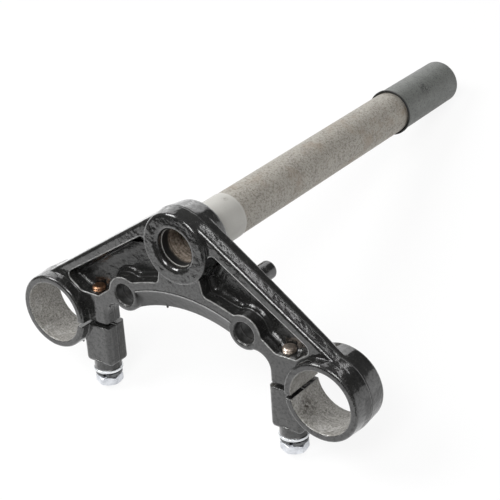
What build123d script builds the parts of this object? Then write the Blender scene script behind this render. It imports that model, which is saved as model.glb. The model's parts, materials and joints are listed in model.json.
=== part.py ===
from build123d import *
import os
from math import acos, asin, atan2, cos, degrees, hypot, radians, sin, sqrt, tan

# Lower triple clamp of a motorcycle fork: a pocketed cast bracket with two split fork clamps, a
# hollow steering stem pressed into it, a cap over the stem's thread, and two pinch bolts.
# Sizes are in millimetres. The pieces are laid out along the steering axis: z runs up the stem
# from the lower faces of the fork clamps, y forward to the fork tubes and x across the bike.
# The last section turns them to the way the clamp lies on a bench, on its bolts and its cap.

# Fork clamps
fork_spacing = 176.4
fork_offset = 59.5
fork_bore_radius = 17.5
fork_clamp_radius = 22.4
fork_clamp_height = 24.5
fork_bore_chamfer = 0.5
clamp_rim_round = 1.3

# Steering boss of the casting
boss_radius = 20.9
boss_draft = 8.0
boss_bottom = 3.3
boss_top = 26.0
boss_bottom_round = 1.7
boss_top_round = 3.2
boss_lip_radius = 10.7
boss_lip_height = 4.2
boss_lip_round = 2.6

# Arms of the casting
arm_bottom = 6.0
arm_top = 18.9
arm_crown = 2.7
arm_edge_round = 1.8
arm_inset = 0.5
clamp_inset = 1.2
draft_angle = 4.0
web_thickness = 3.2
rear_rib_boss_width = 6.8
rear_rib_clamp_width = 5.2
pocket_corner_round = 3.6
pocket_floor_round = 3.0
pocket_inner_x = 19.0
pocket_boss_sink = 1.4
pocket_clamp_foot = 0.9

# Arch between the fork clamps, with its sloped underside
arch_apex = 38.1
arch_slope_run = 10.2
arch_slope_rise = 4.3
arch_rib_width = 5.0

# Round bosses with cross holes at the ends of the arch
hole_radius = 6.1
hole_forward = 37.9
hole_to_ear = 14.05
hole_boss_radius = 10.2
hole_chamfer = 0.7

# Steering stops on top of the arms
stop_radius = 5.0
stop_side = 40.0
stop_forward = 12.0
stop_height = 11.0
stop_round = 1.6

# Pinch ears, the slits through them and the pads under the bolts
bolt_from_fork = 25.4
ear_width = 18.9
ear_depth = 14.4
ear_corner_round = 2.6
ear_drop = 24.2
ear_foot_round = 2.4
ear_notch_round = 8.5
slit_offset = 1.2
slit_width = 2.5
thread_length = 16.9
thread_boss_radius = 6.2
pad_radius = 7.6
pad_height = 4.0

# Pinch bolts and their washers
bolt_radius = 4.0
bolt_length = 55.0
bolt_tip_chamfer = 0.8
bolt_runout = 3.0
bolt_hole_radius = 4.4
head_width = 13.0
head_height = 5.3
head_face_radius = 6.2
head_chamfer_angle = 30.0
head_turn = 20.0
flat_washer_radius = 8.0
flat_washer_height = 1.6
lock_washer_radius = 7.4
lock_washer_height = 2.1
lock_washer_spring = 1.0
lock_washer_turns = 0.96
lock_washer_turn = 75.0
washer_bore_radius = 4.3
washer_edge_round = 0.3

# Steering stem and the cap over its thread
stem_seat_radius = 12.7
stem_seat_length = 21.5
stem_relief_width = 1.0
stem_relief_depth = 0.3
stem_shank_step = 0.3
stem_thread_step = 0.2
stem_wall = 2.5
stem_chamfer = 0.5
cap_mouth = 208.0
cap_end = 267.0
cap_lip_wall = 1.5
cap_lip_length = 1.4
cap_mouth_wall = 0.85
cap_side_wall = 0.6
cap_end_wall = 1.6
cap_end_round = 1.6
cap_mouth_chamfer = 0.8

# Clearances between the pieces
press_gap = 0.01
thread_gap = 0.02
cap_gap = 0.1
cap_shank_gap = 1.5

# Places worked out from the sizes above
parting = fork_clamp_height / 2
fork_x = fork_spacing / 2
bolt_x = fork_x - bolt_from_fork
ear_inner_x = bolt_x - ear_width / 2
hole_x = ear_inner_x - hole_to_ear
slit_start = fork_offset + slit_offset
slit_end = slit_start + slit_width
slit_middle = slit_start + slit_width / 2
arm_end = slit_end + slit_width
ear_foot = slit_end + ear_drop
pocket_front = slit_start - thread_length
flat_washer_seat = ear_foot + pad_height
lock_washer_seat = flat_washer_seat + flat_washer_height
head_seat = lock_washer_seat + lock_washer_height + lock_washer_spring
head_end = head_seat + head_height
bolt_tip = head_seat - bolt_length
stem_start = boss_bottom + boss_lip_height
stem_seat_start = boss_top + stem_relief_width
stem_seat_end = stem_seat_start + stem_seat_length
stem_relief_radius = stem_seat_radius - stem_relief_depth
stem_shank_radius = stem_seat_radius - stem_shank_step
stem_thread_radius = stem_shank_radius - stem_thread_step
stem_bore_radius = stem_seat_radius - stem_wall
stem_shank_end = cap_mouth - cap_shank_gap
stem_end = cap_end - cap_end_wall
cap_inside_radius = stem_thread_radius + cap_gap
cap_mouth_radius = cap_inside_radius + cap_mouth_wall
cap_end_radius = cap_inside_radius + cap_side_wall

# The arch is one arc that runs into the round ends of the arms without a corner
lobe_radius = hole_boss_radius - arm_inset
arch_lift = lobe_radius - arch_apex
arch_centre = (hole_x ** 2 + hole_forward ** 2 - arch_lift ** 2) / (2 * (hole_forward + arch_lift))
arch_radius = arch_centre - arch_apex
arch_slope_radius = arch_radius + arch_slope_run
arch_lean = atan2(hole_x, arch_centre - hole_forward)

UP = (Align.CENTER, Align.CENTER, Align.MIN)


def rod(radius, start, end):
    """Plain round bar along z."""
    return Pos(0, 0, start) * Cylinder(radius, end - start, align=UP)


def turned(*points):
    """Turned piece: an outline of radius and height points, revolved about z."""
    outline = Polyline(*[(radius, 0, height) for radius, height in points], close=True)
    return revolve(make_face(outline), Axis.Z)


def both_sides(piece):
    """A piece of the right side with its mirror image on the left."""
    return [piece, mirror(piece, about=Plane.YZ)]


def along_bolt(side, piece):
    """Stands a piece modelled along z on the bolt axis of one side, with z pointing forward."""
    axis = Plane(origin=(side * bolt_x, 0, parting), x_dir=(1, 0, 0), z_dir=(0, 1, 0))
    return axis.location * piece


def drafted_disc(radius, low, high, low_round, high_round, draft=draft_angle):
    """Round cast body, widest at the parting plane and drawn in by the draft to both faces."""
    draw = tan(radians(draft))
    disc = turned(
        (0, low), (radius - (parting - low) * draw, low), (radius, parting),
        (radius - (high - parting) * draw, high), (0, high),
    )
    disc = fillet(disc.edges().filter_by(GeomType.CIRCLE).sort_by(Axis.Z)[0], low_round)
    return fillet(disc.edges().filter_by(GeomType.CIRCLE).sort_by(Axis.Z)[-1], high_round)


def arm_tangent(boss_size, clamp_size):
    """Ends of the arm's rear edge: the line that touches the boss and the fork clamp."""
    span = hypot(fork_x, fork_offset)
    turn = atan2(fork_offset, fork_x) - acos((boss_size - clamp_size) / span)
    at_boss = (boss_size * cos(turn), boss_size * sin(turn))
    at_clamp = (fork_x + clamp_size * cos(turn), fork_offset + clamp_size * sin(turn))
    return at_boss, at_clamp


def on_arch(lean):
    """Point of the arch at an angle to the middle of the bracket."""
    return (arch_radius * sin(lean), arch_centre - arch_radius * cos(lean))


def arm_plan():
    """Plan of both arms at the parting plane: rear edges, ears, hole bosses and the arch."""
    boss_size = boss_radius - arm_inset
    at_boss, at_clamp = arm_tangent(boss_size, fork_clamp_radius - clamp_inset)
    ear_x = ear_inner_x + arm_inset
    notch_x = ear_x - ear_notch_round
    reach = lobe_radius + ear_notch_round
    notch_y = hole_forward + sqrt(reach ** 2 - (notch_x - hole_x) ** 2)
    facing = atan2(notch_y - hole_forward, notch_x - hole_x)
    notch_end = (hole_x + lobe_radius * cos(facing), hole_forward + lobe_radius * sin(facing))
    halfway = (facing + radians(180)) / 2
    notch_middle = (
        notch_x - ear_notch_round * cos(halfway), notch_y - ear_notch_round * sin(halfway)
    )
    outer = Polyline(
        (0, arch_apex), (0, -boss_size), at_boss, at_clamp, (fork_x, arm_end),
        (ear_x, arm_end), (ear_x, notch_y),
    )
    notch = ThreePointArc((ear_x, notch_y), notch_middle, notch_end)
    lobe = ThreePointArc(notch_end, (hole_x, hole_forward + lobe_radius), on_arch(arch_lean))
    arch = ThreePointArc(on_arch(arch_lean), on_arch(arch_lean / 2), (0, arch_apex))
    half = make_face([*outer.edges(), notch, lobe, arch])
    return half + mirror(half, about=Plane.YZ)


def crown(height):
    """Room under a surface that is highest in the middle and falls away to the fork clamps."""
    radius = (fork_x ** 2 + arm_crown ** 2) / (2 * arm_crown)
    return Pos(0, fork_offset / 2, height - radius) * Rot(90, 0, 0) * Cylinder(radius, 4 * fork_offset)


def arms():
    """Both arms: the plan drawn in by the draft above and below the parting plane."""
    face = Pos(0, 0, parting) * arm_plan()
    reach = 4 * fork_x
    right = Box(reach, reach, reach, align=(Align.MIN, Align.CENTER, Align.CENTER))
    upper = extrude(face, amount=arm_top + arm_crown - parting, taper=draft_angle) & right
    lower = extrude(face, amount=arm_bottom - parting, taper=draft_angle) & right
    arm = (upper & crown(arm_top)) + lower
    for level in (-1, 0):
        rim = arm.faces().sort_by(Axis.Z)[level].edges().filter_by(
            lambda edge: edge.center().X > press_gap
        )
        arm = fillet(rim, arm_edge_round)
    return arm + mirror(arm, about=Plane.YZ)


def arch_slope():
    """Wedge taken off the underside of the arch, between the two hole bosses."""
    below = arm_bottom - arch_slope_rise
    above = arm_bottom + arch_slope_rise
    clear = arch_radius - arch_slope_run
    outline = Polyline(
        (clear, 0, below), (arch_slope_radius, 0, below), (arch_slope_radius, 0, arm_bottom),
        (arch_radius, 0, above), (clear, 0, above), close=True,
    )
    spread = degrees(2 * arch_lean)
    wedge = revolve(make_face(outline), Axis.Z, revolution_arc=spread)
    return Pos(0, arch_centre, 0) * Rot(0, 0, -90 - spread / 2) * wedge


def pocket():
    """Hollow under the right arm, rounded at its corners and at its floor."""
    at_boss, at_clamp = arm_tangent(
        boss_radius - arm_inset - rear_rib_boss_width,
        fork_clamp_radius - clamp_inset - rear_rib_clamp_width,
    )
    outline = make_face(Polyline(
        at_boss, at_clamp, (fork_x, pocket_front), (pocket_inner_x, pocket_front), close=True
    ))
    outline -= Circle(boss_radius - pocket_boss_sink)
    outline -= Pos(fork_x, fork_offset) * Circle(fork_clamp_radius + pocket_clamp_foot)
    outline -= Pos(hole_x, hole_forward) * Circle(hole_boss_radius)
    outline -= Pos(0, arch_centre) * Circle(arch_slope_radius + arch_rib_width)
    rim = Pos(0, 0, arm_bottom) * fillet(outline.vertices(), pocket_corner_round)
    hollow = extrude(rim, amount=arm_top - arm_bottom, taper=draft_angle) & crown(arm_top - web_thickness)
    floor = hollow.faces().sort_by(Axis.Z)[-1]
    return fillet(floor.edges(), pocket_floor_round) + extrude(rim, amount=-arm_bottom)


def ear():
    """Right pinch ear, a column along the bolt, with its thread boss and the washer's pad."""
    section = RectangleRounded(ear_width, ear_depth, ear_corner_round)
    column = extrude(Pos(0, 0, slit_middle) * section, amount=ear_foot - slit_middle)
    column = fillet(column.faces().sort_by(Axis.Z)[-1].edges(), ear_foot_round)
    column += rod(pad_radius, ear_foot - ear_foot_round, flat_washer_seat)
    return along_bolt(1, column + rod(thread_boss_radius, pocket_front - pocket_corner_round, slit_middle))


def stop():
    """Steering stop on top of the right arm, a round peg with a rounded end."""
    peg = rod(stop_radius, arm_top - web_thickness, arm_top + stop_height)
    peg = fillet(peg.edges().sort_by(Axis.Z)[-1], stop_round)
    return Pos(stop_side, stop_forward, 0) * peg


def chamfered_bore(radius, chamfer, low, high):
    """Bore between two faces, opened out by a chamfer at both of them."""
    mouth = radius + chamfer
    return turned(
        (0, low), (mouth, low), (radius, low + chamfer),
        (radius, high - chamfer), (mouth, high), (0, high),
    )


def ear_holes():
    """Slit of the right fork clamp, with the bolt's clearance hole and its tapped hole."""
    slit = Pos(fork_x - fork_bore_radius / 2, slit_start, parting) * Box(
        bolt_from_fork + ear_width, slit_width, 2 * fork_clamp_height,
        align=(Align.MAX, Align.MIN, Align.CENTER),
    )
    clearance = rod(bolt_hole_radius, slit_start, flat_washer_seat)
    tapped = rod(bolt_radius + thread_gap, bolt_tip - bolt_runout, slit_end)
    return slit + along_bolt(1, clearance + tapped)


def bracket_casting():
    """The whole bracket: arms, boss, fork clamps, ears and stops, then its hollows and holes."""
    body = arms() - arch_slope()
    hole_place = Pos(hole_x, hole_forward, 0)
    fork_place = Pos(fork_x, fork_offset, 0)
    hole_boss = drafted_disc(hole_boss_radius, arm_bottom, arm_top, arm_edge_round, arm_edge_round)
    clamp = drafted_disc(fork_clamp_radius, 0, fork_clamp_height, clamp_rim_round, clamp_rim_round)
    for added in (hole_place * hole_boss, fork_place * clamp, ear(), stop()):
        body += both_sides(added)
    for side in both_sides(pocket()):
        body -= side
    body += drafted_disc(
        boss_radius, boss_bottom, boss_top, boss_bottom_round, boss_top_round, boss_draft
    )
    cross_hole = chamfered_bore(hole_radius, hole_chamfer, arm_bottom, arm_top)
    fork_bore = chamfered_bore(fork_bore_radius, fork_bore_chamfer, 0, fork_clamp_height)
    for taken in (hole_place * cross_hole, fork_place * fork_bore, ear_holes()):
        for side in both_sides(taken):
            body -= side
    body -= rod(stem_seat_radius + press_gap, stem_start, boss_top)
    body -= rod(boss_lip_radius, boss_bottom, stem_start)
    lip = body.edges().filter_by(GeomType.CIRCLE).filter_by(
        lambda edge: abs(edge.radius - boss_lip_radius) < press_gap
    ).sort_by(Axis.Z)[0]
    return fillet(lip, boss_lip_round)


def steering_stem():
    """Hollow stem: bearing seat, plain shank and the end that carries the thread."""
    return turned(
        (stem_bore_radius, stem_start),
        (stem_seat_radius - stem_chamfer, stem_start),
        (stem_seat_radius, stem_start + stem_chamfer),
        (stem_seat_radius, boss_top),
        (stem_relief_radius, boss_top),
        (stem_relief_radius, stem_seat_start),
        (stem_seat_radius, stem_seat_start),
        (stem_seat_radius, stem_seat_end),
        (stem_shank_radius, stem_seat_end + stem_shank_step),
        (stem_shank_radius, stem_shank_end - stem_thread_step),
        (stem_thread_radius, stem_shank_end),
        (stem_thread_radius, stem_end - stem_chamfer),
        (stem_thread_radius - stem_chamfer, stem_end),
        (stem_bore_radius, stem_end),
    )


def thread_cap():
    """Push-on cap that covers the stem's thread, slightly tapered and closed at its end."""
    lip = cap_inside_radius + cap_lip_wall
    cap = turned(
        (cap_inside_radius + cap_mouth_chamfer, cap_mouth), (lip, cap_mouth),
        (lip, cap_mouth + cap_lip_length),
        (cap_mouth_radius, cap_mouth + cap_lip_length + cap_lip_wall - cap_mouth_wall),
        (cap_end_radius, cap_end), (0, cap_end), (0, stem_end), (cap_inside_radius, stem_end),
        (cap_inside_radius, cap_mouth + cap_mouth_chamfer),
    )
    rim = cap.edges().filter_by(GeomType.CIRCLE).sort_by(Axis.Z)[-1]
    return fillet(rim, cap_end_round)


def pinch_bolt():
    """Hexagon head bolt along z, its tip first, with the head's end corners turned off."""
    corner = head_width / sqrt(3)
    drop = (corner - head_face_radius) * tan(radians(head_chamfer_angle))
    prism = extrude(
        Pos(0, 0, head_seat) * RegularPolygon(head_width / 2, 6, major_radius=False), head_height
    )
    blank = turned(
        (0, head_seat), (corner, head_seat), (corner, head_end - drop),
        (head_face_radius, head_end), (0, head_end),
    )
    shank = turned(
        (0, bolt_tip), (bolt_radius - bolt_tip_chamfer, bolt_tip),
        (bolt_radius, bolt_tip + bolt_tip_chamfer), (bolt_radius, head_seat), (0, head_seat),
    )
    return Rot(0, 0, head_turn) * (prism & blank) + shank


def ring(radius, seat, height):
    """Plain washer on its seat, with rounded rims."""
    washer = rod(radius, seat, seat + height) - rod(washer_bore_radius, seat, seat + height)
    rims = washer.edges().filter_by(GeomType.CIRCLE).filter_by(
        lambda edge: edge.radius > washer_bore_radius
    )
    return fillet(rims, washer_edge_round)


def lock_washer():
    """Spring washer: one open turn of a bar, whose ends stand apart by the spring."""
    width = lock_washer_radius - washer_bore_radius
    pitch = lock_washer_spring / lock_washer_turns
    line = Helix(pitch, lock_washer_spring, washer_bore_radius + width / 2, cone_angle=0)
    across = Plane(origin=line @ 0, x_dir=(1, 0, 0), z_dir=line % 0)
    section = across * RectangleRounded(width, lock_washer_height, washer_edge_round)
    bar = sweep(section, path=line, is_frenet=True)
    return Pos(0, 0, lock_washer_seat + lock_washer_height / 2) * Rot(0, 0, lock_washer_turn) * bar


def bolted(piece):
    """A fastener on the left and on the right bolt axis."""
    return Compound(children=[along_bolt(side, piece) for side in (-1, 1)])


# On a bench the clamp lies on the rims of its bolt heads and on the rounded end of its cap
cap_round_y = cap_end_radius - cap_end_round
cap_round_z = cap_end - cap_end_round
head_rim_z = parting + head_face_radius
bench_run = cap_round_z - head_rim_z
bench_rise = head_end - cap_round_y
tilt = degrees(atan2(bench_rise, bench_run) - asin(cap_end_round / hypot(bench_rise, bench_run)))
lying = Rot(-90 - tilt, 0, 0) * Pos(0, 0, -stem_seat_start)

pieces = {
    "bracket_casting": bracket_casting(),
    "steering_stem": steering_stem(),
    "thread_cap": thread_cap(),
    "pinch_bolts": bolted(pinch_bolt()),
    "lock_washers": bolted(lock_washer()),
    "flat_washers": bolted(ring(flat_washer_radius, flat_washer_seat, flat_washer_height)),
}
os.makedirs("parts", exist_ok=True)
for name, piece in pieces.items():
    export_step(lying * piece, f"parts/{name}.step")
print("tilt on the bench", round(tilt, 3))
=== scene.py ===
import json
import math

import bpy
from mathutils import Matrix, Vector


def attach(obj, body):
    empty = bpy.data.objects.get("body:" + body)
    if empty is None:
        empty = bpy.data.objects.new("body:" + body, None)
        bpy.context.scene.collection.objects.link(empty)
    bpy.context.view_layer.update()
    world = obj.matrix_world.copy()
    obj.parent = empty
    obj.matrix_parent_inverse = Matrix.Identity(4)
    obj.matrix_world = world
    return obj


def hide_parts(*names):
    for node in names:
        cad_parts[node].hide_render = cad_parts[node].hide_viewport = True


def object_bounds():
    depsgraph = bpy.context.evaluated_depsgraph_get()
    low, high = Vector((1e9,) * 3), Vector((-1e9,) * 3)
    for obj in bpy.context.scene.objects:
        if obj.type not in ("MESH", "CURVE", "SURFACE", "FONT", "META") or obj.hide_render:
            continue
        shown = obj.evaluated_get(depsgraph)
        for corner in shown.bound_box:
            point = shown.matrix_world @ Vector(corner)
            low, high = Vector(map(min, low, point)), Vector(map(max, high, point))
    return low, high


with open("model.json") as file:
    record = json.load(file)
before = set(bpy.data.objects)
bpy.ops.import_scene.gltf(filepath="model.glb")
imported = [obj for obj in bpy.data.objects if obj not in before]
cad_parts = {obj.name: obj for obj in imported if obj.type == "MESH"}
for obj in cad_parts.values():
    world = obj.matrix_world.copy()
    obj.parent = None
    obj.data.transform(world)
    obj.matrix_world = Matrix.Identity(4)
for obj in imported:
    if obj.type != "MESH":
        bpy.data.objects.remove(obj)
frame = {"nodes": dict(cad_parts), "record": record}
cad_low, cad_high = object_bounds()

MM = 0.001
MERGE = 0.002 * MM

# Camera of the photograph, in metres in the frame of the clamp
CAMERA_PLACE = Vector((0.44973, -0.38478, 0.50361))
CAMERA_AIM = Vector((0.00905, 0.01873, -0.02835))
CAMERA_ROLL = math.radians(20.050)
CAMERA_LENS = 109.49
CAMERA_SENSOR = 36.0

# Sizes of the clamp, in metres along its own axes: z up the stem, y forward, x across
SEAT_FOOT = 27.0 * MM
SEAT_END = 48.5 * MM
PARTING = 12.25 * MM
FORK_X = 88.2 * MM
FORK_Y = 59.5 * MM
FORK_BORE = 17.5 * MM
BOSS_RADIUS = 20.9 * MM
STEM_BORE = 10.2 * MM
STEM_FOOT = 7.5 * MM
CAP_MOUTH = 208.0 * MM
SLIT_MIDDLE = 61.95 * MM

# Outline of the hollow under an arm, the round at the foot of its walls, and the lining that shows it
HOLLOW_REAR = 13.6 * MM
HOLLOW_REAR_LEAN = math.radians(-57.29)
HOLLOW_FRONT = 43.8 * MM
HOLLOW_FLOOR = 15.7 * MM
HOLLOW_CROWN_RADIUS = 1442.0 * MM
HOLLOW_SINK = 0.6 * MM
HOLLOW_ROUND = 8.5 * MM
HOLLOW_FRONT_ROUND = 3.6 * MM
HOLLOW_WALL = 7.4 * MM
HOLLOW_STEEPEST = math.radians(72.0)
HOLLOW_BLEND = 1.2 * MM
HOLLOW_OFF_FLOOR = 0.05 * MM
HOLLOW_INTO_WALL = 0.45 * MM
HOLLOW_GRID = 0.3 * MM
HOLLOW_LOW = (17.0 * MM, 8.0 * MM)
HOLLOW_HIGH = (76.0 * MM, 45.0 * MM)
CLAMP_FOOT = 23.3 * MM
TAPPED_ROOM = 5.2 * MM
TAPPED_START = 37.6 * MM
LINING = 0.5 * MM

# The arch and the holes at its ends
ARCH_CENTRE = 114.44 * MM
ARCH_RIB = 91.54 * MM
ARCH_EDGE = 86.54 * MM
HOLE_RADIUS = 6.1 * MM
HOLE_X = 39.3 * MM
HOLE_Y = 37.9 * MM
HOLE_BOSS = 10.2 * MM

# Marks on the finishes: a place with z from the foot of the bearing seat, and a size
BORE_STAIN = (74.5 * MM, 69.8 * MM, 9.0 * MM - SEAT_FOOT), 8.5 * MM
SEAT_SMUDGE = (2.9 * MM, -12.3 * MM, 17.0 * MM), 2.6 * MM
CAP_SCUFF = (9.6 * MM, -9.0 * MM, 205.6 * MM), 6.0 * MM

# Two drips of paint, by the places of their middles, and the outline of one
DRIPS = {
    "arch_drip": (-13.5 * MM, 38.9 * MM, 10.6 * MM),
    "clamp_drip": (-79.7 * MM, 80.1 * MM, 12.0 * MM),
}
DRIP_OUTLINE = (
    (0.0, -1.2 * MM), (0.9 * MM, -1.0 * MM), (0.75 * MM, -0.2 * MM), (0.55 * MM, 0.4 * MM),
    (0.62 * MM, 0.9 * MM), (0.5 * MM, 1.35 * MM), (0.25 * MM, 1.6 * MM), (0.0, 1.7 * MM),
)

# Sizes of a pinch bolt along its axis
BOLT_X = 62.8 * MM
BOLT_TIP = 41.1 * MM
THREAD_END = 62.6 * MM
HEAD_SEAT = 96.1 * MM
HEAD_END = 101.4 * MM
HEAD_WIDTH = 13.0 * MM
HEAD_FACE_RADIUS = 6.2 * MM
HEAD_COLLAR = 0.35 * MM
HEAD_TURN = math.radians(-8.0)
SHANK_RADIUS = 3.98 * MM
CREST_RADIUS = 3.93 * MM
ROOT_RADIUS = 3.30 * MM
THREAD_PITCH = 1.25 * MM
TIP_CHAMFER = 0.8 * MM

# Lights by place, aim, width, height and power, and dark cards by a corner and two edges
SOFTBOXES = {
    "front_softbox": ((0.28, -0.52, 1.08), (0.0, 0.0, -0.03), 0.60, 0.45, 9.5),
    "left_softbox": ((-0.70, -0.22, 1.00), (0.0, 0.0, -0.03), 0.55, 0.55, 11.4),
    "back_strip": ((0.38, 1.15, 0.74), (0.0, 0.0, -0.02), 0.9, 0.05, 0.65),
    "back_card": ((-0.83, 1.22, 0.34), (0.0, 0.0, -0.02), 1.6, 0.9, 6.2),
}
FLAGS = {
    "front_flag": ((-1.2, -0.45, 0.0), (1.5, 0.0, 0.0), (0.0, 0.0, 0.30)),
    "right_flag": ((0.14, -0.80, 0.002), (0.8, 0.0, 0.0), (0.0, 0.62, 0.0)),
}

# The stem's direction gives the way the clamp lies on the bench
mounts = {mount["name"]: mount for mount in frame["record"]["mounts"]}
stem_way = Vector(mounts["stem_seat"]["axis"])
TILT = math.atan2(-stem_way.z, stem_way.y)
LYING = Matrix.Rotation(-math.pi / 2 - TILT, 4, "X") @ Matrix.Translation((0, 0, -SEAT_FOOT))


def photo_camera():
    """Camera at the photograph's place, aimed at the boss and rolled as the photograph is."""
    lens = bpy.data.cameras.new("photo_camera")
    lens.sensor_fit = "HORIZONTAL"
    lens.sensor_width = CAMERA_SENSOR
    lens.lens = CAMERA_LENS
    lens.clip_start = 0.01
    lens.clip_end = 40.0
    camera = bpy.data.objects.new("photo_camera", lens)
    bpy.context.scene.collection.objects.link(camera)
    facing = (CAMERA_AIM - CAMERA_PLACE).to_track_quat("-Z", "Y").to_matrix()
    rolled = facing @ Matrix.Rotation(-CAMERA_ROLL, 3, "Z")
    camera.location = CAMERA_PLACE
    camera.rotation_mode = "QUATERNION"
    camera.rotation_quaternion = rolled.to_quaternion()
    bpy.context.scene.camera = camera


# Nodes of a finish
def add(tree, kind, **settings):
    """New shader node with its settings."""
    node = tree.nodes.new("ShaderNode" + kind)
    for key, value in settings.items():
        setattr(node, key, value)
    return node


def feed(tree, socket, source):
    """Links a node's output into a socket, or writes a plain number there."""
    if hasattr(source, "links"):
        tree.links.new(source, socket)
    else:
        socket.default_value = source


def calc(tree, operation, first, second=0.0):
    node = add(tree, "Math", operation=operation)
    feed(tree, node.inputs[0], first)
    feed(tree, node.inputs[1], second)
    return node.outputs[0]


def blend_colour(tree, factor, first, second):
    node = add(tree, "Mix", data_type="RGBA")
    feed(tree, node.inputs[0], factor)
    for socket, colour in ((node.inputs[6], first), (node.inputs[7], second)):
        feed(tree, socket, colour if hasattr(colour, "links") else (*colour, 1.0))
    return node.outputs[2]


def blend_value(tree, factor, first, second):
    node = add(tree, "Mix", data_type="FLOAT")
    feed(tree, node.inputs[0], factor)
    feed(tree, node.inputs[2], first)
    feed(tree, node.inputs[3], second)
    return node.outputs[0]


def between(tree, value, low, high, at_low=0.0, at_high=1.0):
    """Smooth step of a value from one level to another."""
    node = add(tree, "MapRange", interpolation_type="SMOOTHSTEP")
    feed(tree, node.inputs["Value"], value)
    node.inputs["From Min"].default_value = low
    node.inputs["From Max"].default_value = high
    node.inputs["To Min"].default_value = at_low
    node.inputs["To Max"].default_value = at_high
    return node.outputs["Result"]


def grain(tree, place, size, detail=3.0, rough=0.55, stretch=(1.0, 1.0, 1.0), shift=(0.0, 0.0, 0.0)):
    """Cloudy noise with grains of about one size, in metres, longer where it is stretched."""
    scaled = add(tree, "Mapping")
    scaled.inputs["Scale"].default_value = [1.0 / amount for amount in stretch]
    scaled.inputs["Location"].default_value = shift
    tree.links.new(place, scaled.inputs["Vector"])
    node = add(tree, "TexNoise")
    node.inputs["Scale"].default_value = 1.0 / size
    node.inputs["Detail"].default_value = detail
    node.inputs["Roughness"].default_value = rough
    tree.links.new(scaled.outputs["Vector"], node.inputs["Vector"])
    return node.outputs["Fac"]


def clamp_axes(tree):
    """Place on the clamp's own axes, with z from the foot of the bearing seat, and its three values."""
    where = add(tree, "TexCoord")
    turned = add(tree, "Mapping")
    turned.inputs["Rotation"].default_value = (math.pi / 2 + TILT, 0.0, 0.0)
    tree.links.new(where.outputs["Object"], turned.inputs["Vector"])
    split = add(tree, "SeparateXYZ")
    tree.links.new(turned.outputs["Vector"], split.inputs["Vector"])
    return turned.outputs["Vector"], split.outputs["X"], split.outputs["Y"], split.outputs["Z"]


def distance(tree, first, second):
    """Length of two values at a right angle."""
    first_square = calc(tree, "MULTIPLY", first, first)
    second_square = calc(tree, "MULTIPLY", second, second)
    return calc(tree, "SQRT", calc(tree, "ADD", first_square, second_square))


def from_pair(tree, x, y, centre_x, centre_y):
    """Distance from the nearer of two upright axes, one on each side of the middle."""
    beside = calc(tree, "SUBTRACT", calc(tree, "ABSOLUTE", x), centre_x)
    return distance(tree, beside, calc(tree, "SUBTRACT", y, centre_y))


def patch(tree, place, centre, size):
    """Round soft spot, 1 at its centre and 0 from its size outwards."""
    offset = add(tree, "VectorMath", operation="DISTANCE")
    tree.links.new(place, offset.inputs[0])
    offset.inputs[1].default_value = centre
    return between(tree, offset.outputs["Value"], size, 0.0)


def bump(tree, height, depth, strength=1.0, under=None):
    node = add(tree, "Bump")
    node.inputs["Strength"].default_value = strength
    node.inputs["Distance"].default_value = depth
    feed(tree, node.inputs["Height"], height)
    if under is not None:
        tree.links.new(under, node.inputs["Normal"])
    return node.outputs["Normal"]


def start_finish(name):
    material = bpy.data.materials.new(name)
    material.use_nodes = True
    return material, material.node_tree, material.node_tree.nodes["Principled BSDF"]


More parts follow.
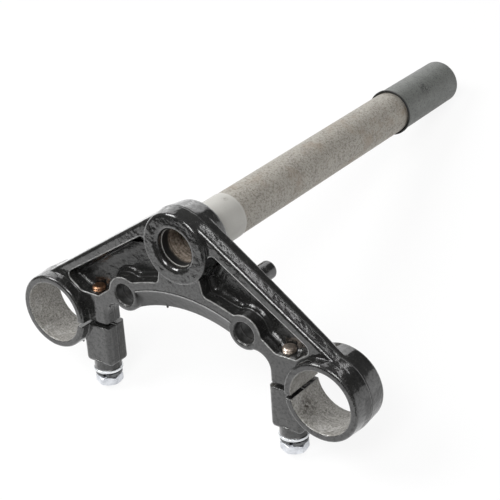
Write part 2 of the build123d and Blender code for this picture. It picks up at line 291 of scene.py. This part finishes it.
def black_paint():
    """Thick gloss enamel over a sand casting, with the fork bores left bare, and a painted highlight of
    pale grey along its edges and the arch edge.
    """
    material, tree, shader = start_finish("black_paint")
    place, x, y, z = clamp_axes(tree)
    from_fork = from_pair(tree, x, y, FORK_X, FORK_Y)
    ragged = grain(tree, place, 1.6 * MM, 4.0)
    edge = calc(tree, "ADD", from_fork, calc(tree, "MULTIPLY", ragged, 0.5 * MM))
    bare = between(tree, edge, FORK_BORE + 0.72 * MM, FORK_BORE + 0.42 * MM)

    cloud = grain(tree, place, 9.0 * MM, 2.0, 0.45)
    sand = grain(tree, place, 2.2 * MM, 3.0, 0.5)
    fine = grain(tree, place, 0.7 * MM, 3.0)
    coat = blend_colour(tree, cloud, (0.008, 0.008, 0.008), (0.022, 0.022, 0.021))
    dust = between(tree, calc(tree, "MULTIPLY", sand, fine), 0.28, 0.42)
    coat = blend_colour(tree, calc(tree, "MULTIPLY", dust, 0.25), coat, (0.10, 0.10, 0.095))

    rear = calc(tree, "MULTIPLY", calc(tree, "ABSOLUTE", x), math.cos(HOLLOW_REAR_LEAN))
    rear = calc(tree, "ADD", rear, calc(tree, "MULTIPLY", y, math.sin(HOLLOW_REAR_LEAN)))
    hollow = between(tree, rear, HOLLOW_REAR + 1.0 * MM, HOLLOW_REAR - 1.0 * MM)
    hollow = calc(tree, "MULTIPLY", hollow, between(tree, z, 7.0 * MM - SEAT_FOOT, 9.0 * MM - SEAT_FOOT))
    from_hole = from_pair(tree, x, y, HOLE_X, HOLE_Y)
    hole = between(tree, from_hole, HOLE_RADIUS + 0.5 * MM, HOLE_RADIUS + 0.2 * MM)
    from_arch = distance(tree, x, calc(tree, "SUBTRACT", y, ARCH_CENTRE))
    slope = between(tree, from_arch, ARCH_EDGE - 0.2 * MM, ARCH_EDGE - 1.2 * MM)
    middle = between(tree, calc(tree, "ABSOLUTE", x), 33.0 * MM, 30.0 * MM)
    slope = calc(tree, "MULTIPLY", slope, middle)
    wander = calc(tree, "MULTIPLY", calc(tree, "SUBTRACT", cloud, 0.5), 1.6 * MM)
    off_parting = calc(tree, "ADD", calc(tree, "ADD", z, SEAT_FOOT - PARTING), wander)
    off_parting = calc(tree, "ABSOLUTE", off_parting)
    seam = between(tree, off_parting, 0.6 * MM, 0.1 * MM)
    dull = calc(tree, "MAXIMUM", hollow, calc(tree, "MAXIMUM", hole, slope))
    dull = calc(tree, "MAXIMUM", dull, seam)
    off_ridge = calc(tree, "ABSOLUTE", calc(tree, "SUBTRACT", from_arch, ARCH_EDGE))
    ridge = calc(tree, "MULTIPLY", between(tree, off_ridge, 0.9 * MM, 0.0), middle)

    # Painted highlight: convex edges, found by occlusion from inside, and the line along the arch edge are
    # lightened towards pale grey, like the bright lines that glossy edges catch; the sand grain breaks it
    # up, and it is kept off the hollows and the slit.
    inner = add(tree, "AmbientOcclusion", inside=True, only_local=True, samples=8)
    inner.inputs["Distance"].default_value = 1.3 * MM
    painted_edge_highlight = between(tree, inner.outputs["AO"], 0.86, 0.55)
    painted_edge_highlight = calc(tree, "MAXIMUM", painted_edge_highlight, between(tree, ridge, 0.4, 1.0, 0.0, 0.7))
    painted_edge_highlight = calc(tree, "MULTIPLY", painted_edge_highlight, between(tree, sand, 0.25, 0.6, 0.35, 1.0))
    painted_edge_highlight = calc(tree, "MULTIPLY", painted_edge_highlight, calc(tree, "SUBTRACT", 1.0, hollow))
    off_slit = calc(tree, "ABSOLUTE", calc(tree, "SUBTRACT", y, SLIT_MIDDLE))
    slit = between(tree, off_slit, 3.4 * MM, 2.4 * MM)
    slit = calc(tree, "MULTIPLY", slit, between(tree, calc(tree, "ABSOLUTE", x), 82.0 * MM, 80.0 * MM))
    painted_edge_highlight = calc(tree, "MULTIPLY", painted_edge_highlight, calc(tree, "SUBTRACT", 1.0, slit))
    # Painted highlight: pale grey laid on the paint colour along the edges.
    coat = blend_colour(tree, calc(tree, "MULTIPLY", painted_edge_highlight, 0.85), coat, (0.45, 0.45, 0.44))

    scratch = grain(tree, place, 0.9 * MM, 5.0, 0.7, stretch=(6.0, 1.0, 1.0))
    specks = grain(tree, place, 0.9 * MM, 4.0, 0.65)
    steel = blend_colour(tree, between(tree, scratch, 0.35, 0.7), (0.26, 0.25, 0.235), (0.46, 0.45, 0.42))
    steel = blend_colour(tree, between(tree, specks, 0.50, 0.64, 0.0, 0.9), steel, (0.12, 0.112, 0.10))
    stain = patch(tree, place, *BORE_STAIN)
    stain = calc(tree, "MULTIPLY", stain, between(tree, sand, 0.38, 0.58))
    steel = blend_colour(tree, stain, steel, (0.05, 0.042, 0.034))
    feed(tree, shader.inputs["Base Color"], blend_colour(tree, bare, coat, steel))
    feed(tree, shader.inputs["Metallic"], calc(tree, "MULTIPLY", bare, 0.35))
    gloss = blend_value(tree, cloud, 0.05, 0.16)
    gloss = calc(tree, "ADD", gloss, calc(tree, "MULTIPLY", dust, 0.15))
    gloss = calc(tree, "ADD", gloss, calc(tree, "MULTIPLY", hollow, 0.05))
    gloss = calc(tree, "ADD", gloss, calc(tree, "MULTIPLY", slope, 0.20))
    gloss = calc(tree, "ADD", gloss, calc(tree, "MULTIPLY", hole, 0.35))
    gloss = calc(tree, "ADD", gloss, calc(tree, "MULTIPLY", seam, 0.30))
    feed(tree, shader.inputs["Roughness"], blend_value(tree, bare, gloss, 0.62))
    shader.inputs["IOR"].default_value = 1.50
    worn = calc(tree, "MULTIPLY", between(tree, grain(tree, place, 1.4 * MM, 4.0, 0.65), 0.46, 0.62), 0.6)
    worn = calc(tree, "MAXIMUM", worn, calc(tree, "MULTIPLY", dull, 0.8))
    feed(tree, shader.inputs["Coat Weight"], calc(tree, "SUBTRACT", 1.0, worn))
    shader.inputs["Coat Roughness"].default_value = 0.04

    soft = add(tree, "Bevel")
    soft.samples = 6
    soft.inputs["Radius"].default_value = 1.1 * MM
    waves = bump(tree, cloud, 0.6 * MM, 0.6, soft.outputs["Normal"])
    rough_cast = calc(tree, "MULTIPLY", sand, blend_value(tree, hollow, 0.32, 1.1))
    sanded = bump(tree, rough_cast, 0.32 * MM, 0.8, waves)
    lines = bump(tree, calc(tree, "SUBTRACT", ridge, seam), 0.20 * MM, 0.7, sanded)
    skin = bump(tree, fine, 0.02 * MM, 0.5, lines)
    feed(tree, shader.inputs["Normal"], skin)
    feed(tree, shader.inputs["Coat Normal"], skin)
    return material


def bare_steel():
    """Steel stem: ground bearing seat, mottled shank, and a rusty bore."""
    material, tree, shader = start_finish("bare_steel")
    place, x, y, z = clamp_axes(tree)
    radius = distance(tree, x, y)
    wander = calc(tree, "MULTIPLY", grain(tree, place, 14.0 * MM, 2.0), 1.2 * MM)
    along = calc(tree, "ADD", z, wander)
    seat = between(tree, along, SEAT_END - SEAT_FOOT + 1.0 * MM, SEAT_END - SEAT_FOOT + 0.4 * MM)
    border = calc(tree, "MULTIPLY", seat, between(tree, along, SEAT_END - SEAT_FOOT - 1.2 * MM,
                                                  SEAT_END - SEAT_FOOT - 0.2 * MM))

    cloud = grain(tree, place, 7.0 * MM, 4.0, 0.6)
    mottle = grain(tree, place, 1.3 * MM, 5.0, 0.7)
    speck = grain(tree, place, 0.55 * MM, 3.0, 0.6)
    rings = grain(tree, place, 0.5 * MM, 2.0, 0.5, stretch=(30.0, 30.0, 1.0))
    shank = blend_colour(tree, cloud, (0.34, 0.316, 0.275), (0.49, 0.466, 0.42))
    shank = blend_colour(tree, between(tree, mottle, 0.45, 0.66, 0.0, 0.85), shank, (0.20, 0.182, 0.155))
    shank = blend_colour(tree, between(tree, speck, 0.54, 0.68, 0.0, 0.7), shank, (0.10, 0.09, 0.075))
    brown = grain(tree, place, 18.0 * MM, 3.0, 0.6, shift=(0.3, 0.1, 0.2))
    shank = blend_colour(tree, between(tree, brown, 0.48, 0.72, 0.0, 0.55), shank, (0.27, 0.21, 0.15))
    ground = blend_colour(tree, cloud, (0.46, 0.45, 0.42), (0.54, 0.53, 0.50))
    ground = blend_colour(tree, between(tree, speck, 0.62, 0.72, 0.0, 0.35), ground, (0.25, 0.24, 0.21))
    smudge = patch(tree, place, *SEAT_SMUDGE)
    smudge = calc(tree, "MULTIPLY", smudge, between(tree, mottle, 0.35, 0.6))
    ground = blend_colour(tree, calc(tree, "MULTIPLY", smudge, 0.7), ground, (0.20, 0.18, 0.15))
    ground = blend_colour(tree, calc(tree, "MULTIPLY", border, 0.5), ground, (0.56, 0.55, 0.52))
    outside = blend_colour(tree, seat, shank, ground)
    rust = blend_colour(tree, between(tree, mottle, 0.35, 0.65), (0.17, 0.13, 0.10), (0.52, 0.45, 0.38))
    rust = blend_colour(tree, between(tree, rings, 0.45, 0.65, 0.0, 0.7), rust, (0.06, 0.045, 0.032))
    sprayed = calc(tree, "ADD", z, calc(tree, "MULTIPLY", cloud, 2.5 * MM))
    sprayed = between(tree, sprayed, STEM_FOOT + 7.0 * MM - SEAT_FOOT, STEM_FOOT + 4.5 * MM - SEAT_FOOT)
    rust = blend_colour(tree, sprayed, rust, (0.012, 0.012, 0.012))
    inside = between(tree, radius, STEM_BORE + 0.35 * MM, STEM_BORE + 0.15 * MM)
    feed(tree, shader.inputs["Base Color"], blend_colour(tree, inside, outside, rust))
    feed(tree, shader.inputs["Metallic"], blend_value(tree, inside, 0.15, 0.1))
    dull = blend_value(tree, seat, blend_value(tree, mottle, 0.42, 0.66), 0.50)
    feed(tree, shader.inputs["Roughness"], blend_value(tree, inside, dull, 0.6))
    turned = bump(tree, rings, 0.02 * MM, 0.6)
    pitted = bump(tree, blend_value(tree, seat, mottle, speck), 0.05 * MM, 0.4, turned)
    feed(tree, shader.inputs["Normal"], pitted)
    return material


def cap_plastic():
    """Dark grey satin cap with fine mottling, a scuffed side, and painted shade darkening it just above its
    mouth.
    """
    material, tree, shader = start_finish("cap_plastic")
    place, _, _, z = clamp_axes(tree)
    cloud = grain(tree, place, 6.0 * MM, 4.0, 0.6)
    mottle = grain(tree, place, 0.9 * MM, 4.0, 0.65)
    skin = blend_colour(tree, cloud, (0.10, 0.106, 0.098), (0.21, 0.218, 0.205))
    skin = blend_colour(tree, between(tree, mottle, 0.50, 0.66, 0.0, 0.75), skin, (0.06, 0.065, 0.06))
    scuff = patch(tree, place, *CAP_SCUFF)
    scuff = calc(tree, "MULTIPLY", scuff, between(tree, mottle, 0.4, 0.55))
    skin = blend_colour(tree, calc(tree, "MULTIPLY", scuff, 0.85), skin, (0.025, 0.025, 0.024))
    # Painted shade: the cap is darkened nearly to black just above its mouth.
    painted_mouth_shade = between(tree, z, CAP_MOUTH - SEAT_FOOT + 1.2 * MM, CAP_MOUTH - SEAT_FOOT + 0.6 * MM)
    skin = blend_colour(tree, painted_mouth_shade, skin, (0.02, 0.02, 0.02))
    feed(tree, shader.inputs["Base Color"], skin)
    feed(tree, shader.inputs["Roughness"], blend_value(tree, mottle, 0.36, 0.58))
    feed(tree, shader.inputs["Normal"], bump(tree, mottle, 0.05 * MM, 0.4))
    return material


def zinc_plate(name, bright, dark, rough, stained_tip_and_slit_shade=False):
    """Zinc plated steel with pale tarnish, and on the bolts a stained tip and painted shade where they pass
    through the slit.
    """
    material, tree, shader = start_finish(name)
    place, x, y, _ = clamp_axes(tree)
    cloud = grain(tree, place, 3.0 * MM, 4.0, 0.6)
    fine = grain(tree, place, 0.45 * MM, 4.0, 0.6)
    plate = blend_colour(tree, between(tree, cloud, 0.35, 0.7), bright, dark)
    plate = blend_colour(tree, between(tree, fine, 0.6, 0.74, 0.0, 0.5), plate, (0.30, 0.31, 0.33))
    if stained_tip_and_slit_shade:
        stain = between(tree, y, BOLT_TIP + 16.0 * MM, BOLT_TIP + 12.0 * MM)
        gold = blend_colour(tree, between(tree, fine, 0.4, 0.65), (0.56, 0.49, 0.43), (0.22, 0.16, 0.12))
        copper = blend_colour(tree, between(tree, fine, 0.4, 0.65), (0.36, 0.20, 0.12), (0.11, 0.055, 0.03))
        copper = blend_colour(tree, between(tree, cloud, 0.6, 0.7), copper, (0.7, 0.68, 0.66))
        tip = blend_colour(tree, between(tree, x, -1.0 * MM, 1.0 * MM), copper, gold)
        plate = blend_colour(tree, stain, plate, tip)
        # Painted shade: the bolt is darkened nearly to black where it passes through the slit of the clamp.
        off_slit = calc(tree, "ABSOLUTE", calc(tree, "SUBTRACT", y, SLIT_MIDDLE))
        slit = between(tree, off_slit, 4.0 * MM, 2.5 * MM)
        plate = blend_colour(tree, calc(tree, "MULTIPLY", slit, 0.85), plate, (0.03, 0.028, 0.025))
    feed(tree, shader.inputs["Base Color"], plate)
    shader.inputs["Metallic"].default_value = 0.9
    feed(tree, shader.inputs["Roughness"], blend_value(tree, cloud, rough, rough + 0.16))
    feed(tree, shader.inputs["Normal"], bump(tree, fine, 0.03 * MM, 0.4))
    return material


# Shaping by hand
def draw_line(name, points):
    """Outline drawn from point to point: one vertex, extruded along it."""
    bpy.ops.object.select_all(action="DESELECT")
    bpy.ops.mesh.primitive_plane_add(size=MM)
    piece = bpy.context.object
    piece.name = name
    bpy.ops.object.mode_set(mode="EDIT")
    bpy.ops.mesh.select_mode(type="VERT")
    bpy.ops.mesh.select_all(action="SELECT")
    bpy.ops.mesh.merge(type="CENTER")
    bpy.ops.transform.translate(value=points[0])
    for before, after in zip(points, points[1:]):
        step = [b - a for a, b in zip(before, after)]
        bpy.ops.mesh.extrude_region_move(TRANSFORM_OT_translate={"value": step})
    bpy.ops.object.mode_set(mode="OBJECT")
    return piece


def close_up():
    """Merges doubled vertices of the piece in edit mode and turns its faces outwards."""
    bpy.ops.mesh.select_all(action="SELECT")
    bpy.ops.mesh.remove_doubles(threshold=MERGE)
    bpy.ops.mesh.normals_make_consistent(inside=False)


def turn_piece(name, points, steps=64):
    """Turned piece: an outline of radius and height points, spun about z."""
    piece = draw_line(name, [(radius, 0.0, height) for radius, height in points])
    bpy.ops.object.mode_set(mode="EDIT")
    bpy.ops.mesh.select_all(action="SELECT")
    bpy.ops.mesh.spin(steps=steps, angle=2 * math.pi, center=(0, 0, 0), axis=(0, 0, 1))
    close_up()
    bpy.ops.object.mode_set(mode="OBJECT")
    return piece


def pick(*pieces):
    """Selects pieces alone, with the last one active."""
    bpy.ops.object.select_all(action="DESELECT")
    for piece in pieces:
        piece.select_set(True)
    bpy.context.view_layer.objects.active = pieces[-1]


def apply_modifier(piece, kind, **settings):
    modifier = piece.modifiers.new(kind.lower(), kind)
    for key, value in settings.items():
        setattr(modifier, key, value)
    pick(piece)
    bpy.ops.object.modifier_apply(modifier=modifier.name)


def combine(piece, other, way):
    """Joins or cuts a piece with another, which is used up."""
    apply_modifier(piece, "BOOLEAN", operation=way, object=other, solver="EXACT")
    bpy.data.objects.remove(other)


def thread():
    """Thread of the bolt: one groove outline wound up the shank, with a turned point."""
    low = BOLT_TIP - 2 * THREAD_PITCH
    outline = [
        (ROOT_RADIUS, 0.0, low), (CREST_RADIUS, 0.0, low + 0.42 * THREAD_PITCH),
        (CREST_RADIUS, 0.0, low + 0.55 * THREAD_PITCH), (ROOT_RADIUS, 0.0, low + 0.92 * THREAD_PITCH),
        (ROOT_RADIUS, 0.0, low + THREAD_PITCH),
    ]
    piece = draw_line("thread", outline)
    turns = math.ceil((THREAD_END - low) / THREAD_PITCH) + 1
    apply_modifier(
        piece, "SCREW", angle=2 * math.pi, screw_offset=THREAD_PITCH, iterations=turns, steps=36,
        render_steps=36, use_merge_vertices=True, merge_threshold=MERGE, axis="Z",
    )
    bpy.ops.object.mode_set(mode="EDIT")
    for height, keep_above in ((BOLT_TIP - 0.6 * THREAD_PITCH, True), (THREAD_END, False)):
        bpy.ops.mesh.select_all(action="SELECT")
        bpy.ops.mesh.bisect(
            plane_co=(0, 0, height), plane_no=(0, 0, 1), use_fill=True,
            clear_inner=keep_above, clear_outer=not keep_above, threshold=0.0001 * MM,
        )
    close_up()
    bpy.ops.object.mode_set(mode="OBJECT")
    around = CREST_RADIUS + 0.1 * MM
    point = turn_piece("point", [
        (0.0, BOLT_TIP), (CREST_RADIUS - TIP_CHAMFER, BOLT_TIP), (around, BOLT_TIP + TIP_CHAMFER),
        (around, THREAD_END + MM), (0.0, THREAD_END + MM),
    ], steps=48)
    combine(piece, point, "INTERSECT")
    return piece


def pinch_bolt():
    """Hexagon head bolt along z, tip first: a turned blank trimmed to a hexagon, with its thread."""
    corner = HEAD_WIDTH / math.sqrt(3)
    drop = (corner - HEAD_FACE_RADIUS) * math.tan(math.radians(30.0))
    bolt = turn_piece("pinch_bolt_left", [
        (0.0, THREAD_END - THREAD_PITCH), (ROOT_RADIUS * 0.98, THREAD_END - THREAD_PITCH),
        (SHANK_RADIUS, THREAD_END - 0.2 * THREAD_PITCH), (SHANK_RADIUS, HEAD_SEAT),
        (HEAD_FACE_RADIUS * 0.97, HEAD_SEAT), (HEAD_FACE_RADIUS, HEAD_SEAT + HEAD_COLLAR * 0.4),
        (HEAD_FACE_RADIUS, HEAD_SEAT + HEAD_COLLAR), (corner * 1.01, HEAD_SEAT + HEAD_COLLAR + drop * 1.06),
        (corner * 1.01, HEAD_END - drop * 1.02), (HEAD_FACE_RADIUS, HEAD_END), (0.0, HEAD_END),
    ], steps=72)
    bpy.ops.object.select_all(action="DESELECT")
    length = HEAD_END - THREAD_END + 5.0 * MM
    bpy.ops.mesh.primitive_cylinder_add(
        vertices=6, radius=corner, depth=length, location=(0, 0, HEAD_END + MM - length / 2),
        rotation=(0, 0, HEAD_TURN),
    )
    hexagon = bpy.context.object
    bpy.ops.object.transform_apply(location=True, rotation=True, scale=True)
    combine(bolt, hexagon, "INTERSECT")
    pick(thread(), bolt)
    bpy.ops.object.join()
    bpy.ops.object.mode_set(mode="EDIT")
    close_up()
    bpy.ops.object.mode_set(mode="OBJECT")
    bpy.ops.object.shade_smooth_by_angle(angle=math.radians(28.0))
    return bolt


def twin(piece, name):
    """Copy of a piece, with a mesh of its own."""
    other = piece.copy()
    other.data = piece.data.copy()
    other.name = name
    bpy.context.scene.collection.objects.link(other)
    return other


def point_forward(piece, place):
    """Lays a piece that is modelled along z forward, with its origin at a place of the clamp."""
    piece.data.transform(LYING @ Matrix.Translation(place) @ Matrix.Rotation(-math.pi / 2, 4, "X"))
    piece.data.update()


def dress(piece, finish):
    piece.data.materials.clear()
    piece.data.materials.append(finish)


def fit_bolts(finish):
    """Both pinch bolts, modelled once, instead of the plain ones."""
    left = pinch_bolt()
    right = twin(left, "pinch_bolt_right")
    for side, bolt in ((-1, left), (1, right)):
        point_forward(bolt, (side * BOLT_X, 0, PARTING))
        dress(bolt, finish)
        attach(bolt, "root")
        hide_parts("pinch_bolts")


def hollow_depth(x, y):
    """Height of the hollow's rounded bottom at a point of the right arm, and how far the walls are."""
    walls = (
        HOLLOW_REAR - x * math.cos(HOLLOW_REAR_LEAN) - y * math.sin(HOLLOW_REAR_LEAN),
        HOLLOW_FRONT - y,
        math.hypot(x, y) - BOSS_RADIUS,
        math.hypot(x - FORK_X, y - FORK_Y) - CLAMP_FOOT,
        math.hypot(x - HOLE_X, y - HOLE_Y) - HOLE_BOSS,
        math.hypot(x, y - ARCH_CENTRE) - ARCH_RIB,
    )
    nearest = min(walls)
    steeper = HOLLOW_ROUND / HOLLOW_FRONT_ROUND
    apart = [walls[0]] + [wall * steeper for wall in walls[1:]]
    least = min(apart)
    blended = math.log(sum(math.exp((least - wall) / HOLLOW_BLEND) for wall in apart))
    inside = least - HOLLOW_BLEND * blended + HOLLOW_SINK
    steep = HOLLOW_ROUND * (1 - math.sin(HOLLOW_STEEPEST))
    run = max(HOLLOW_ROUND - max(inside, steep), 0.0)
    rise = HOLLOW_ROUND - math.sqrt(HOLLOW_ROUND ** 2 - run ** 2)
    rise += max(steep - inside, 0.0) * math.tan(HOLLOW_STEEPEST)
    floor = HOLLOW_FLOOR - x * x / (2 * HOLLOW_CROWN_RADIUS)
    return floor - HOLLOW_OFF_FLOOR - rise, nearest


def hollow_lining(side, name, finish):
    """Rounded bottom of the hollow under one arm: a fine grid, dished and trimmed to the walls."""
    size = [high - low for low, high in zip(HOLLOW_LOW, HOLLOW_HIGH)]
    bpy.ops.object.select_all(action="DESELECT")
    bpy.ops.mesh.primitive_grid_add(
        x_subdivisions=round(size[0] / HOLLOW_GRID), y_subdivisions=round(size[1] / HOLLOW_GRID), size=1.0
    )
    piece = bpy.context.object
    piece.name = name
    bpy.ops.object.mode_set(mode="EDIT")
    bpy.ops.mesh.select_mode(type="FACE")
    bpy.ops.mesh.select_all(action="DESELECT")
    bpy.ops.object.mode_set(mode="OBJECT")
    inside = []
    for point in piece.data.vertices:
        x = HOLLOW_LOW[0] + (point.co.x + 0.5) * size[0]
        y = HOLLOW_LOW[1] + (point.co.y + 0.5) * size[1]
        height, from_wall = hollow_depth(x, y)
        at_bolt = abs(x - BOLT_X) < TAPPED_ROOM and y > TAPPED_START
        inside.append(from_wall > -HOLLOW_INTO_WALL and not at_bolt)
        height = max(height, HOLLOW_FLOOR - HOLLOW_WALL)
        point.co = LYING @ Vector((side * x, y, height))
    for face in piece.data.polygons:
        face.select = not all(inside[corner] for corner in face.vertices)
    bpy.ops.object.mode_set(mode="EDIT")
    bpy.ops.mesh.delete(type="FACE")
    bpy.ops.mesh.select_all(action="SELECT")
    bpy.ops.mesh.delete_loose()
    bpy.ops.mesh.select_all(action="SELECT")
    bpy.ops.mesh.normals_make_consistent(inside=False)
    bpy.ops.object.mode_set(mode="OBJECT")
    up = LYING.to_3x3() @ Vector((0, 0, -1))
    facing = sum(face.normal.dot(up) * face.area for face in piece.data.polygons)
    if facing < 0:
        bpy.ops.object.mode_set(mode="EDIT")
        bpy.ops.mesh.select_all(action="SELECT")
        bpy.ops.mesh.flip_normals()
        bpy.ops.object.mode_set(mode="OBJECT")
    apply_modifier(piece, "SOLIDIFY", thickness=LINING, offset=-1.0)
    bpy.ops.object.shade_smooth_by_angle(angle=math.radians(50.0))
    dress(piece, finish)
    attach(piece, "root")


def paint_drips(finish):
    """Drips of paint that hang from the casting, turned once and copied."""
    first = turn_piece("arch_drip", DRIP_OUTLINE, steps=24)
    bpy.ops.object.shade_smooth()
    second = twin(first, "clamp_drip")
    for drip in (first, second):
        point_forward(drip, DRIPS[drip.name])
        dress(drip, finish)
        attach(drip, "root")


# Studio
def floor_finish():
    """White paper floor: it looks white to the camera and in the gloss, and keeps a soft shadow."""
    material, tree, shader = start_finish("white_paper")
    shader.inputs["Base Color"].default_value = (0.93, 0.93, 0.93, 1.0)
    shader.inputs["Roughness"].default_value = 0.9
    shader.inputs["Specular IOR Level"].default_value = 0.1
    shine = add(tree, "Emission")
    shine.inputs["Color"].default_value = (1.0, 1.0, 1.0, 1.0)
    shine.inputs["Strength"].default_value = 1.0
    share = seen_rays(tree, 0.9, 0.5)
    both = add(tree, "MixShader")
    tree.links.new(share, both.inputs[0])
    tree.links.new(shader.outputs[0], both.inputs[1])
    tree.links.new(shine.outputs[0], both.inputs[2])
    out = tree.nodes["Material Output"]
    tree.links.new(both.outputs[0], out.inputs["Surface"])
    return material


def seen_rays(tree, for_camera, for_gloss):
    """One share for rays from the camera, another for rays from gloss or through clear pieces."""
    rays = add(tree, "LightPath")
    shiny = calc(tree, "MAXIMUM", rays.outputs["Is Glossy Ray"], rays.outputs["Is Transmission Ray"])
    shiny = calc(tree, "MULTIPLY", shiny, for_gloss)
    return calc(tree, "MAXIMUM", calc(tree, "MULTIPLY", rays.outputs["Is Camera Ray"], for_camera), shiny)


def lay_floor():
    bpy.ops.object.select_all(action="DESELECT")
    bpy.ops.mesh.primitive_plane_add(size=16.0, location=(0, 0, cad_low.z))
    floor = bpy.context.object
    floor.name = "floor"
    bpy.ops.object.transform_apply(location=True)
    floor.data.materials.append(floor_finish())


def flag_cloth():
    material, tree, shader = start_finish("flag_cloth")
    weave = grain(tree, add(tree, "TexCoord").outputs["Object"], 4.0 * MM)
    cloth = blend_colour(tree, weave, (0.02, 0.02, 0.02), (0.04, 0.04, 0.04))
    feed(tree, shader.inputs["Base Color"], cloth)
    shader.inputs["Roughness"].default_value = 0.9
    return material


def black_flag(name, start, across, along, cloth):
    """Dark card beside the set, from one corner along two edges, seen only in the gloss."""
    bpy.ops.object.select_all(action="DESELECT")
    bpy.ops.mesh.primitive_plane_add(size=1.0)
    card = bpy.context.object
    card.name = name
    foot = Vector((0, 0, cad_low.z)) + Vector(start)
    for corner in card.data.vertices:
        corner.co = foot + (corner.co.x + 0.5) * Vector(across) + (corner.co.y + 0.5) * Vector(along)
    card.data.materials.append(cloth)
    card.visible_camera = False
    card.visible_diffuse = False
    card.visible_shadow = False


def softbox(name, place, aim, width, height, power):
    light = bpy.data.lights.new(name, "AREA")
    light.shape = "RECTANGLE"
    light.size = width
    light.size_y = height
    light.energy = power
    lamp = bpy.data.objects.new(name, light)
    bpy.context.scene.collection.objects.link(lamp)
    lamp.location = place
    lamp.rotation_mode = "QUATERNION"
    lamp.rotation_quaternion = (Vector(aim) - Vector(place)).to_track_quat("-Z", "Y")


def studio_world():
    """Pale room, darker near the horizon, white to the camera."""
    world = bpy.data.worlds.new("studio")
    bpy.context.scene.world = world
    world.use_nodes = True
    tree = world.node_tree
    room = tree.nodes["Background"]
    way = add(tree, "TexCoord")
    split = add(tree, "SeparateXYZ")
    tree.links.new(way.outputs["Generated"], split.inputs["Vector"])
    shade = add(tree, "ValToRGB")
    stops = shade.color_ramp
    stops.elements[0].position = 0.0
    stops.elements[0].color = (0.18, 0.18, 0.18, 1.0)
    stops.elements[1].position = 1.0
    stops.elements[1].color = (0.30, 0.30, 0.30, 1.0)
    for position, level in ((0.32, 0.08), (0.5, 0.16)):
        stop = stops.elements.new(position)
        stop.color = (level, level, level, 1.0)
    tree.links.new(split.outputs["Z"], shade.inputs["Fac"])
    tree.links.new(shade.outputs["Color"], room.inputs["Color"])
    room.inputs["Strength"].default_value = 1.0
    white = add(tree, "Background")
    white.inputs["Color"].default_value = (1.0, 1.0, 1.0, 1.0)
    white.inputs["Strength"].default_value = 1.0
    rays = add(tree, "LightPath")
    both = add(tree, "MixShader")
    tree.links.new(rays.outputs["Is Camera Ray"], both.inputs[0])
    tree.links.new(room.outputs[0], both.inputs[1])
    tree.links.new(white.outputs[0], both.inputs[2])
    tree.links.new(both.outputs[0], tree.nodes["World Output"].inputs["Surface"])


photo_camera()
bolt_zinc = zinc_plate("bolt_zinc", (0.80, 0.82, 0.86), (0.60, 0.62, 0.66), 0.28, stained_tip_and_slit_shade=True)
finishes = {
    "bracket_casting": black_paint(),
    "steering_stem": bare_steel(),
    "thread_cap": cap_plastic(),
    "pinch_bolts": bolt_zinc,
    # Dark copy of the zinc finish for the lock washers: painted shade of the gap between the flat washer
    # and the head.
    "lock_washers": zinc_plate("lock_zinc_painted_shade", (0.15, 0.155, 0.16), (0.05, 0.05, 0.052), 0.30),
    "flat_washers": zinc_plate("washer_zinc", (0.86, 0.88, 0.90), (0.68, 0.70, 0.73), 0.26),
}
for name, node in frame["nodes"].items():
    dress(node, finishes[name])
fit_bolts(bolt_zinc)
hollow_lining(-1, "left_hollow_lining", finishes["bracket_casting"])
hollow_lining(1, "right_hollow_lining", finishes["bracket_casting"])
paint_drips(finishes["bracket_casting"])

lay_floor()
dark_cloth = flag_cloth()
for name, card in FLAGS.items():
    black_flag(name, *card, dark_cloth)
studio_world()
for name, light in SOFTBOXES.items():
    softbox(name, *light)

bpy.context.scene.view_settings.view_transform = "Standard"
